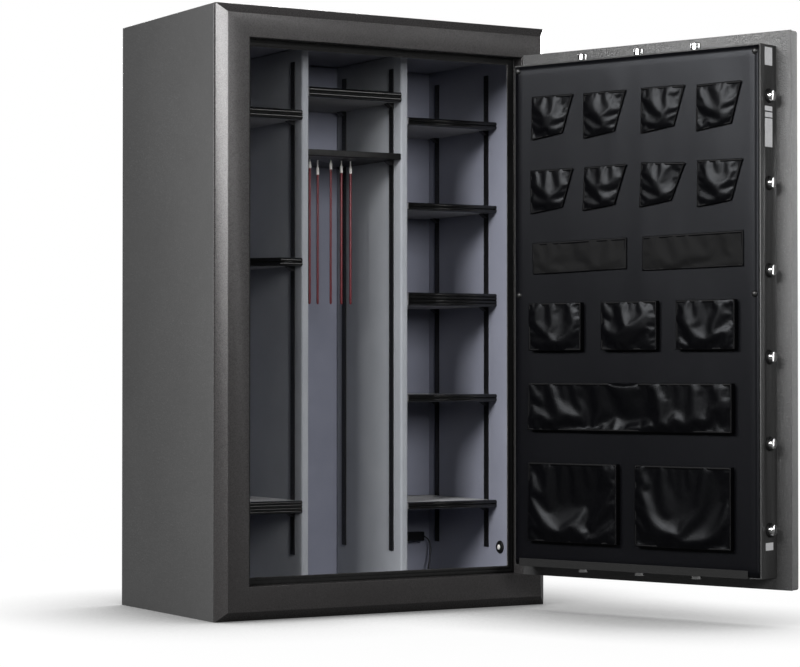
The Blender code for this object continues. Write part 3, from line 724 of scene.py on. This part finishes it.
def make_rods():
    """Slim red barrel rods hung under the rest by their pale tips."""
    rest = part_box("barrel_rest")[0].z
    for number, (x, top) in enumerate(zip(ROD_XS, ROD_TOPS), 1):
        y = ROD_Y + (0.014 if number in (2, 3) else 0.0) - (0.010 if number == 4 else 0.0)
        bm = bmesh.new()
        turned(bm, [(0.0, 0.0), (0.0018, 0.0), (0.0030, 0.003), (0.0034, 0.006),
                    (0.0034, top - 0.026 - ROD_FOOT), (0.0030, top - ROD_TIP - ROD_FOOT),
                    (0.0, top - ROD_TIP - ROD_FOOT)], (x, y, ROD_FOOT), (0.0, 0.0, 1.0), 20)
        mesh_piece("barrel_rod_%d" % number, bm, ROD_RED, "body")
        bm = bmesh.new()
        rise = rest - (top - ROD_TIP)
        turned(bm, [(0.0, 0.0), (0.0042, 0.0), (0.0046, 0.0015), (0.0044, 0.016), (0.0030, 0.021),
                    (0.0022, 0.0225), (0.0022, rise - 0.0004), (0.0, rise - 0.0004)],
               (x, y, top - ROD_TIP), (0.0, 0.0, 1.0), 20)
        mesh_piece("barrel_rod_tip_%d" % number, bm, TIP_WHITE, "body")
    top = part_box("barrel_rest")[1].z
    for number in (1, 4):
        bm = bmesh.new()
        turned(bm, [(0.0, 0.0), (0.0042, 0.0), (0.0046, 0.002), (0.0036, 0.0055), (0.0018, 0.0070),
                    (0.0, 0.0072)], (ROD_XS[number - 1], ROD_Y, top + 0.0002),
               (0.0, 0.0, 1.0), 24)
        mesh_piece("rod_cap_%d" % number, bm, TIP_WHITE, "body")


def make_grommet():
    """Round cable grommet in the right wall, with a bright button in the middle."""
    centre = (LINER_R - 0.0002, -0.130, 0.158)
    bm = bmesh.new()
    turned(bm, [(0.0, 0.0), (0.0190, 0.0), (0.0190, 0.0020), (0.0165, 0.0050), (0.0120, 0.0060),
                (0.0100, 0.0040), (0.0090, 0.0038), (0.0, 0.0038)], centre, (-1.0, 0.0, 0.0), 40)
    mesh_piece("wall_grommet", bm, RUBBER, "body")
    bm = bmesh.new()
    turned(bm, [(0.0, 0.0040), (0.0075, 0.0040), (0.0075, 0.0058), (0.0050, 0.0078),
                (0.0, 0.0084)], centre, (-1.0, 0.0, 0.0), 32)
    mesh_piece("grommet_button", bm, TIP_WHITE, "body")


# ---- door metalwork
def make_door_metal():
    even_flats(rounded("door_skin", 0.0012, DOOR_PAINT))
    rounded("door_inner_plate", 0.0010, HAMMERED)
    rounded("door_pan", 0.0011, PLATE_PAINT)
    keep_node("door_fireboard", GYPSUM)
    for place in ("lower", "upper"):
        rounded("hinge_%s_frame_knuckle" % place, 0.0008, FRAME_PAINT)
        rounded("hinge_%s_door_knuckle" % place, 0.0008, DOOR_PAINT)
    rounded("side_bolt_bar", 0.0004, ZINC)
    for node in ("top_bolt_set", "bottom_bolt_set"):
        rounded(node, 0.0005, CHROME, 2, 40.0)
    for number in range(1, 7):
        rounded("side_bolt_%d" % number, 0.0006, CHROME, 2, 40.0)
    for node, width, material, slot in (("hinge_side_pin_bar", 0.0006, BLACK_STEEL, "black_steel"),
                                        ("lock_body", 0.0006, ZINC, "zinc_steel"),
                                        ("drive_pinion_and_spindle", 0.0003, ZINC, "zinc_steel")):
        rounded(node, width, material)
    rounded("spoke_handle", 0.0008, CHROME, 2, 40.0)
    rounded("handle_collar", 0.0006, CHROME)
    for node in ("dial_ring", "combination_dial"):
        rounded(node, 0.0005, BLACK_STEEL)


BOLT_R = 0.0145
BOLT_Y = FACE_Y + 0.077
BOLT_COLUMNS = (-0.1675, 0.0160, 0.2025)


def bolt_heights():
    boxes = [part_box("side_bolt_%d" % k) for k in range(1, 7)]
    return [(low.z + high.z) / 2.0 for low, high in boxes]


def bushing(bm, centre, axis, bore, outer=0.0192):
    rim = bore + 0.0007
    turned(bm, [(rim, 0.0), (outer, 0.0), (outer, 0.0022), (outer - 0.0014, 0.0040),
                (rim + 0.0012, 0.0046), (rim, 0.0036), (rim, 0.0)], centre, axis, 40)


def make_bushings():
    """Black collars where the bolts pass through the pan."""
    bm = bmesh.new()
    for z in bolt_heights():
        bushing(bm, (PAN_LOW.x - 0.0001, BOLT_Y, z), (-1.0, 0.0, 0.0), BOLT_R)
    mesh_piece("side_bolt_bushings", bm, RUBBER, "door", door=True)
    bm = bmesh.new()
    for x in BOLT_COLUMNS:
        bushing(bm, (x, BOLT_Y, PAN_HIGH.z + 0.0001), (0.0, 0.0, 1.0), BOLT_R)
        bushing(bm, (x, BOLT_Y, PAN_LOW.z - 0.0001), (0.0, 0.0, -1.0), BOLT_R)
    mesh_piece("end_bolt_bushings", bm, RUBBER, "door", door=True)


# ---- door cover and pockets
def make_cover():
    """Padded fabric panel over the bolt work, slightly rippled between its fixings."""
    bm = bmesh.new()
    nx, nz = 56, 96
    low, high = COVER_LOW, COVER_HIGH
    back, front = low.y + 0.0002, high.y
    verts = []
    for k in range(nz + 1):
        row = []
        for i in range(nx + 1):
            x = low.x + (high.x - low.x) * i / nx
            z = low.z + (high.z - low.z) * k / nz
            edge = min(x - low.x, high.x - x, z - low.z, high.z - z)
            rise = 1.0 - max(0.0, 1.0 - edge / 0.007) ** 2
            drift = noise.noise(Vector((x * 5.0, 3.7, z * 2.6))) * 0.0015
            pleat = noise.noise(Vector((x * 16.0, 9.1, z * 1.7))) * 0.0006
            fade = min(1.0, edge / 0.05)
            row.append(bm.verts.new((x, front - 0.0032 * (1.0 - rise) + (drift + pleat) * fade, z)))
        verts.append(row)
    for below, above in zip(verts, verts[1:]):
        bridge(bm, below, above, False)
    loop = ([verts[0][i] for i in range(nx)] + [verts[k][nx] for k in range(nz)]
            + [verts[nz][i] for i in range(nx, 0, -1)] + [verts[k][0] for k in range(nz, 0, -1)])
    rim = [bm.verts.new((v.co.x, back, v.co.z)) for v in loop]
    bridge(bm, loop, rim)
    bm.faces.new(rim)
    piece = mesh_piece("padded_door_cover", bm, COVER_CLOTH, "door", door=True)
    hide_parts("door_cover")


def make_studs():
    """Domed snap studs that hold the cover to the pan."""
    for number, (x, z) in enumerate(((0.392, 1.524), (-0.379, 1.521), (0.388, 0.891),
                                     (-0.377, 0.881)), 1):
        bm = bmesh.new()
        turned(bm, [(0.0, 0.0), (0.0085, 0.0), (0.0085, 0.0012), (0.0076, 0.0032), (0.0052, 0.0048),
                    (0.0026, 0.0055), (0.0, 0.0057)], (x, COVER_Y - 0.0008, z), (0.0, 1.0, 0.0), 32)
        mesh_piece("cover_stud_%d" % number, bm, BLACK_STEEL, "door", door=True)


def make_retaining_strip():
    """Painted metal strip that clamps the bottom edge of the cover."""
    low = (-0.355, COVER_Y - 0.0010, 0.1300)
    high = (0.388, COVER_Y + 0.0016, 0.1520)
    bm = bmesh.new()
    block(bm, low, high)
    strip = mesh_piece("cover_strip", bm, STRIP_PAINT, "door", door=True)
    bevelled(strip, 0.0007, 2)


BODY_TO_SHUT = -0.532
SMALL_ROWS = (
    ((0.873, 1.448), (0.734, 1.448), (0.770, 1.341), (0.875, 1.326)),
    ((0.698, 1.446), (0.557, 1.447), (0.596, 1.335), (0.698, 1.321)),
    ((0.507, 1.448), (0.368, 1.447), (0.403, 1.338), (0.509, 1.324)),
    ((0.330, 1.444), (0.193, 1.446), (0.224, 1.334), (0.332, 1.319)),
    ((0.878, 1.241), (0.734, 1.242), (0.770, 1.134), (0.878, 1.119)),
    ((0.694, 1.241), (0.557, 1.244), (0.596, 1.134), (0.701, 1.121)),
    ((0.507, 1.245), (0.368, 1.238), (0.412, 1.138), (0.514, 1.123)),
    ((0.328, 1.241), (0.189, 1.240), (0.224, 1.130), (0.330, 1.116)),
)
POCKETS = [("small_pocket_%d" % (k + 1), corners) for k, corners in enumerate(SMALL_ROWS)] + [
    ("band_pocket_1", ((0.873, 1.037), (0.557, 1.043), (0.557, 0.957), (0.870, 0.949))),
    ("band_pocket_2", ((0.505, 1.043), (0.188, 1.050), (0.188, 0.955), (0.505, 0.950))),
    ("square_pocket_1", ((0.876, 0.868), (0.700, 0.868), (0.700, 0.735), (0.876, 0.735))),
    ("square_pocket_2", ((0.632, 0.868), (0.452, 0.868), (0.452, 0.735), (0.632, 0.735))),
    ("square_pocket_3", ((0.389, 0.868), (0.207, 0.868), (0.207, 0.735), (0.389, 0.735))),
    ("wide_pocket", ((0.876, 0.645), (0.216, 0.645), (0.216, 0.513), (0.880, 0.513))),
    ("large_pocket_1", ((0.878, 0.423), (0.582, 0.423), (0.582, 0.203), (0.881, 0.203))),
    ("large_pocket_2", ((0.522, 0.423), (0.219, 0.423), (0.219, 0.203), (0.522, 0.203))),
]
POCKET_KINDS = {
    "small": dict(grid=(26, 24), lift=0.004, slack=0.012, press=0.10),
    "band": dict(grid=(48, 16), lift=0.003, slack=0.004, press=0.1),
    "square": dict(grid=(30, 26), lift=0.016, slack=0.014, press=0.25),
    "wide": dict(grid=(84, 22), lift=0.017, slack=0.012, press=0.25, pinched=True),
    "large": dict(grid=(44, 34), lift=0.016, slack=0.012, press=0.25),
}
CLOTH_THICK = 0.0006
REACH = 0.014
SETTLING_FRAMES = 26


def pocket_sheet(corners, grid, lift, seed, pinched):
    """Start shape of one pocket panel: a grid with slanting folds, held by its bound edges."""
    nu, nv = grid
    tl, tr, br, bl = [Vector((x + BODY_TO_SHUT, 0.0, z)) for x, z in corners]
    points, sewn = [], []
    broad = 1.9 + 2.2 * (tr - tl).length
    depth = 0.0038 if lift < 0.01 else 0.0068
    lean = 0.35 + 0.9 * (noise.noise(Vector((seed * 5.7, 2.3, 0.0))) * 0.5 + 0.5)
    for j in range(nv + 1):
        v = j / nv
        left, right = tl.lerp(bl, v), tr.lerp(br, v)
        for i in range(nu + 1):
            u = i / nu
            p = left.lerp(right, u)
            round_out = math.sin(math.pi * u) * (0.35 + 0.65 * math.sin(math.pi * v))
            slant = u * math.cos(lean) + v * math.sin(lean)
            fold = noise.noise(Vector((slant * broad, seed * 7.3, (v - u) * 0.8)))
            crease = 1.0 - 2.0 * abs(noise.noise(Vector((slant * broad * 0.8, seed * 3.9, u * 0.7))))
            p.y = COVER_Y + lift + (0.0030 + depth * fold + 0.3 * depth * crease) * round_out
            held = i in (0, nu) or j in (0, nv)
            if j == 0:
                p.y = COVER_Y + lift + 0.0022 * math.sin(math.pi * u)
            if pinched and j == 0:
                p.y -= (lift - 0.001) * max(0.0, 1.0 - abs(u - 0.48) / 0.10) ** 1.5
            points.append(p)
            sewn.append(held)
    faces = [(j * (nu + 1) + i, j * (nu + 1) + i + 1, (j + 1) * (nu + 1) + i + 1,
              (j + 1) * (nu + 1) + i) for j in range(nv) for i in range(nu)]
    return points, faces, sewn


def drape(points, faces, sewn, slack, press):
    """Lets a slack panel settle under its own weight and a little air behind it."""
    data = bpy.data.meshes.new("settling")
    data.from_pydata(points, [], faces)
    obj = new_object("settling", data)
    scene = bpy.context.scene
    group = obj.vertex_groups.new(name="sewn")
    group.add([i for i, held in enumerate(sewn) if held], 1.0, "REPLACE")
    cloth = obj.modifiers.new("cloth", "CLOTH")
    settings = cloth.settings
    settings.vertex_group_mass = "sewn"
    settings.quality = 6
    settings.mass = 0.10
    settings.tension_stiffness = 18.0
    settings.compression_stiffness = 12.0
    settings.shear_stiffness = 6.0
    settings.bending_stiffness = 4.0
    settings.effector_weights.gravity = 0.25
    settings.air_damping = 2.0
    settings.shrink_min = -slack
    settings.use_pressure = True
    settings.uniform_pressure_force = press
    cloth.collision_settings.use_collision = False
    cloth.point_cache.frame_start = 1
    cloth.point_cache.frame_end = SETTLING_FRAMES
    for step in range(1, SETTLING_FRAMES + 1):
        scene.frame_set(step)
    shaped = obj.evaluated_get(bpy.context.evaluated_depsgraph_get()).to_mesh()
    settled = [v.co.copy() for v in shaped.vertices]
    bpy.data.objects.remove(obj)
    bpy.data.meshes.remove(data)
    scene.frame_set(1)
    return settled


def capped(start, settled, reach):
    """Keeps every point within reach of where it began and in front of the cover."""
    result = []
    for a, b in zip(start, settled):
        move = b - a
        if move.length > reach:
            move *= reach / move.length
        p = a + move
        p.y = max(p.y, COVER_Y + 0.0012)
        result.append(p)
    return result


def thicken(cloth):
    """Gives a sheet of pocket cloth its real thickness."""
    skin = cloth.modifiers.new("cloth thickness", "SOLIDIFY")
    skin.thickness = CLOTH_THICK
    skin.offset = 0.0


def gusset_strip(bm, edge, drop):
    """Side wall of a bellows pocket, from the panel's edge back to the cover, drawn in a little."""
    rows = []
    for share in (0.0, 0.35, 0.7, 1.0):
        row = []
        for p, away in edge:
            pinch = math.sin(math.pi * share) * 0.0035
            q = p + away * -pinch
            row.append(bm.verts.new((q.x, p.y + (drop - p.y) * share, q.z)))
        rows.append(row)
    for low, high in zip(rows, rows[1:]):
        bridge(bm, low, high, False)


def make_pocket(number, name, corners, grid, lift, slack, press, pinched=False):
    start, faces, sewn = pocket_sheet(corners, grid, lift, number, pinched)
    settled = capped(start, drape(start, faces, sewn, slack, press), REACH)
    nu, nv = grid
    bm = bmesh.new()
    verts = [bm.verts.new(p) for p in settled]
    for face in faces:
        bm.faces.new([verts[i] for i in face])
    cloth = FELT if name.startswith("band") else NYLON
    bmesh.ops.reverse_faces(bm, faces=bm.faces)
    panel = mesh_piece(name, bm, cloth, "door", door=True, outward=False)
    subdivide = panel.modifiers.new("smooth folds", "SUBSURF")
    subdivide.levels = subdivide.render_levels = 1
    thicken(panel)
    side = nu + 1
    rows = {
        "left": [settled[j * side] for j in range(nv + 1)],
        "right": [settled[j * side + nu] for j in range(nv + 1)],
        "bottom": [settled[nv * side + i] for i in range(nu + 1)],
        "top": settled[:side],
    }
    pieces = [make_binding(name, rows)]
    if lift > 0.01:
        pieces.append(make_gusset(name, rows))


def make_binding(name, rows):
    """Folded tape round a pocket: along the open top and down the sewn edges."""
    bm = bmesh.new()
    top = [p + Vector((0.0, 0.0007, 0.0)) for p in rows["top"]]
    ribbon(bm, top, Vector((0.0, 0.0, -1.0)), 0.0075, 0.0012)
    for key, inward in (("left", (-1.0, 0.0, 0.0)), ("right", (1.0, 0.0, 0.0)),
                        ("bottom", (0.0, 0.0, 1.0))):
        line = [Vector((p.x, p.y + 0.0008, p.z)) for p in rows[key]]
        ribbon(bm, line, Vector(inward), 0.0050, 0.0013)
    return mesh_piece(name + "_binding", bm, BINDING, "door", door=True)


def ribbon(bm, line, across, width, thick):
    """A flat tape of real thickness that follows a line and extends to one side of it."""
    rings = []
    for p in line:
        q = p + across * width
        rings.append([bm.verts.new(v) for v in (p, q, q - Vector((0.0, thick, 0.0)),
                                                p - Vector((0.0, thick, 0.0)))])
    for low, high in zip(rings, rings[1:]):
        bridge(bm, low, high)
    bm.faces.new(rings[0][::-1])
    bm.faces.new(rings[-1])


def make_gusset(name, rows):
    bm = bmesh.new()
    drop = COVER_Y + 0.0010
    gusset_strip(bm, [(p, Vector((1.0, 0.0, 0.0))) for p in rows["left"]], drop)
    gusset_strip(bm, [(p, Vector((-1.0, 0.0, 0.0))) for p in rows["right"]], drop)
    gusset_strip(bm, [(p, Vector((0.0, 0.0, -1.0))) for p in rows["bottom"]], drop)
    piece = mesh_piece(name + "_gusset", bm, NYLON, "door", door=True)
    thicken(piece)
    return piece


def make_pockets():
    for number, (name, corners) in enumerate(POCKETS, 1):
        make_pocket(number, name, corners, **POCKET_KINDS[name.split("_")[0]])


LABELS = ((1.486, 1.534), (1.3655, 1.378), (1.3485, 1.3620), (1.270, 1.3455), (0.205, 0.225))


def make_labels():
    """Blank paper labels on the free side of the pan."""
    x = PAN_LOW.x - 0.0003
    for number, (low, high) in enumerate(LABELS, 1):
        bm = bmesh.new()
        block(bm, (x, BOLT_Y - 0.019, low), (x + 0.0002, BOLT_Y + 0.019, high))
        mesh_piece("blank_label_%d" % number, bm, LABEL, "door", False, True)


# ---- outside of the door
DIAL = Vector((-0.020, FACE_Y, 1.070))
DIAL_MARKS_Y = FACE_Y - 0.0184
GRADUATIONS = 50


def add_number(bm, number, y):
    """A plain raised number on the dial, its top outward, with 0 uppermost."""
    text = bpy.data.curves.new("number", "FONT")
    text.body = str(number)
    text.size = 0.0062
    text.extrude = 0.0002
    text.align_x = "CENTER"
    text.resolution_u = 3
    holder = new_object("number", text)
    bpy.context.view_layer.update()
    shape = bpy.data.meshes.new_from_object(holder)
    bpy.data.objects.remove(holder)
    bpy.data.curves.remove(text)
    around = -2.0 * math.pi * number / GRADUATIONS
    place = (Matrix.Translation((DIAL.x, y, DIAL.z)) @ Matrix.Rotation(-around, 4, "Y")
             @ Matrix.Translation((0.0, 0.0, 0.0205)) @ Matrix.Rotation(math.pi / 2.0, 4, "X"))
    shape.transform(place)
    bm.from_mesh(shape)
    bpy.data.meshes.remove(shape)


def make_dial_marks():
    """Graduation marks, the first at three o'clock, and plain numbers round the dial."""
    bm = bmesh.new()
    for k in range(GRADUATIONS):
        angle = 2.0 * math.pi * k / GRADUATIONS
        long_mark = k % 5 == 0
        inner, outer = (0.0265 if long_mark else 0.0285), 0.0305
        half = 0.00035 if long_mark else 0.0002
        way = Vector((math.cos(angle), 0.0, math.sin(angle)))
        side = Vector((-way.z, 0.0, way.x))
        corners = [DIAL + way * r + side * s for r, s in ((inner, -half), (outer, -half),
                                                          (outer, half), (inner, half))]
        corners = [Vector((c.x, DIAL_MARKS_Y, c.z)) for c in corners]
        near = [bm.verts.new(c) for c in corners]
        far = [bm.verts.new(c + Vector((0.0, 0.0012, 0.0))) for c in corners]
        bm.faces.new(near)
        bm.faces.new(far[::-1])
        bridge(bm, near, far)
    for number in range(0, GRADUATIONS, 10):
        add_number(bm, number, DIAL_MARKS_Y - 0.0001)
    mesh_piece("dial_marks", bm, MARKING, "dial", False, True)


# ---- stage, light
FLOOR_TONE = (0.55, 0.55, 0.55, 1.0)
FLOOR_LIT_SHARE = 0.06
# Reach of the painted contact shadow round the safe's base.
PAINTED_SHADOW_REACH = 0.55


def mix_shaders(tree, factor, first, second):
    node = add_node(tree, "ShaderNodeMixShader")
    if isinstance(factor, float):
        node.inputs[0].default_value = factor
    else:
        link(tree, factor, node.inputs[0])
    link(tree, first, node.inputs[1])
    link(tree, second, node.inputs[2])
    return node.outputs[0]


def make_floor():
    """Pale studio floor that fades into the background, with a painted contact shadow: near the safe,
    ambient occlusion darkens its glow.
    """
    bm = bmesh.new()
    bmesh.ops.create_grid(bm, x_segments=2, y_segments=2, size=30.0)
    data = bpy.data.meshes.new("studio_floor")
    bm.to_mesh(data)
    bm.free()
    floor = new_object("studio_floor", data)
    material = bpy.data.materials.new("studio_floor")
    material.use_nodes = True
    tree = material.node_tree
    shader = tree.nodes["Principled BSDF"]
    shader.inputs["Base Color"].default_value = FLOOR_TONE
    shader.inputs["Roughness"].default_value = 0.9
    # Painted contact shadow: ambient occlusion sets how strongly the floor glows, darker near the
    # base.
    painted_shadow_occlusion = add_node(tree, "ShaderNodeAmbientOcclusion")
    painted_shadow_occlusion.samples = 6
    painted_shadow_occlusion.inputs["Distance"].default_value = PAINTED_SHADOW_REACH
    # Maps the occlusion to the glow's strength, which paints the shadow.
    even = add_node(tree, "ShaderNodeMapRange")
    even.inputs["From Min"].default_value = 0.5
    even.inputs["To Min"].default_value = 0.20
    link(tree, painted_shadow_occlusion.outputs["AO"], even.inputs["Value"])
    glow_with_painted_shadow = add_node(tree, "ShaderNodeEmission")
    link(tree, even.outputs["Result"], glow_with_painted_shadow.inputs["Strength"])
    # Mostly glow with painted shadow, with a small share of really lit floor.
    lit = mix_shaders(tree, FLOOR_LIT_SHARE, glow_with_painted_shadow.outputs[0], shader.outputs[0])
    far = add_node(tree, "ShaderNodeTexCoord")
    spread = add_node(tree, "ShaderNodeVectorMath", operation="LENGTH")
    link(tree, far.outputs["Object"], spread.inputs[0])
    fade = add_node(tree, "ShaderNodeMapRange", interpolation_type="SMOOTHSTEP")
    fade.inputs["From Min"].default_value = 0.9
    fade.inputs["From Max"].default_value = 2.2
    link(tree, spread.outputs["Value"], fade.inputs["Value"])
    white = add_node(tree, "ShaderNodeEmission")
    white.inputs["Strength"].default_value = 1.0
    near_far = mix_shaders(tree, fade.outputs["Result"], lit, white.outputs[0])
    dim = add_node(tree, "ShaderNodeBsdfDiffuse")
    dim.inputs["Color"].default_value = (0.10, 0.10, 0.10, 1.0)
    path = add_node(tree, "ShaderNodeLightPath")
    shown = mix_shaders(tree, path.outputs["Is Camera Ray"], dim.outputs[0], near_far)
    link(tree, shown, tree.nodes["Material Output"].inputs["Surface"])
    data.materials.append(material)
    floor.location = (0.0, 0.0, -0.0005)


def make_world():
    world = bpy.data.worlds.new("studio")
    bpy.context.scene.world = world
    world.use_nodes = True
    tree = world.node_tree
    back = tree.nodes["Background"]
    back.inputs["Color"].default_value = (1.0, 1.0, 1.0, 1.0)
    back.inputs["Strength"].default_value = 1.0
    fill = add_node(tree, "ShaderNodeBackground")
    fill.inputs["Color"].default_value = (0.92, 0.95, 1.0, 1.0)
    fill.inputs["Strength"].default_value = 0.035
    path = add_node(tree, "ShaderNodeLightPath")
    shown = mix_shaders(tree, path.outputs["Is Camera Ray"], fill.outputs[0], back.outputs[0])
    link(tree, shown, tree.nodes["World Output"].inputs["Surface"])


def softbox(name, place, target, size, power):
    data = bpy.data.lights.new(name, "AREA")
    data.shape = "RECTANGLE"
    data.size, data.size_y = size
    data.energy = power
    lamp = new_object(name, data)
    lamp.location = place
    way = Vector(target) - Vector(place)
    lamp.rotation_euler = way.to_track_quat("-Z", "Y").to_euler()


def make_lights():
    softbox("left_softbox", (-4.3, -1.5, 3.0), (0.0, -0.5, 1.3), (3.8, 1.5), 510.0)
    softbox("front_softbox", (-0.85, -5.8, 2.1), (0.0, 0.0, 0.9), (1.4, 1.8), 180.0)
    softbox("trim_softbox", (2.9, -5.2, 3.1), (0.0, 0.0, 0.9), (1.6, 0.8), 30.0)
    softbox("rear_softbox", (1.9, 5.4, 3.2), (0.0, 0.2, 0.8), (2.6, 2.2), 420.0)
    softbox("outer_softbox", (5.0, 1.3, 2.5), (0.5, -0.4, 0.9), (2.6, 2.2), 330.0)
    softbox("right_softbox", (5.2, -1.7, 1.3), (0.9, -1.0, 0.9), (2.0, 2.6), 75.0)


make_body()
make_seal()
make_standards()
make_shelves()
make_rods()
make_grommet()
make_door_metal()
make_bushings()
make_cover()
make_studs()
make_retaining_strip()
make_pockets()
make_labels()
make_dial_marks()
make_floor()
make_world()
make_lights()
bpy.context.scene.view_settings.view_transform = "Standard"
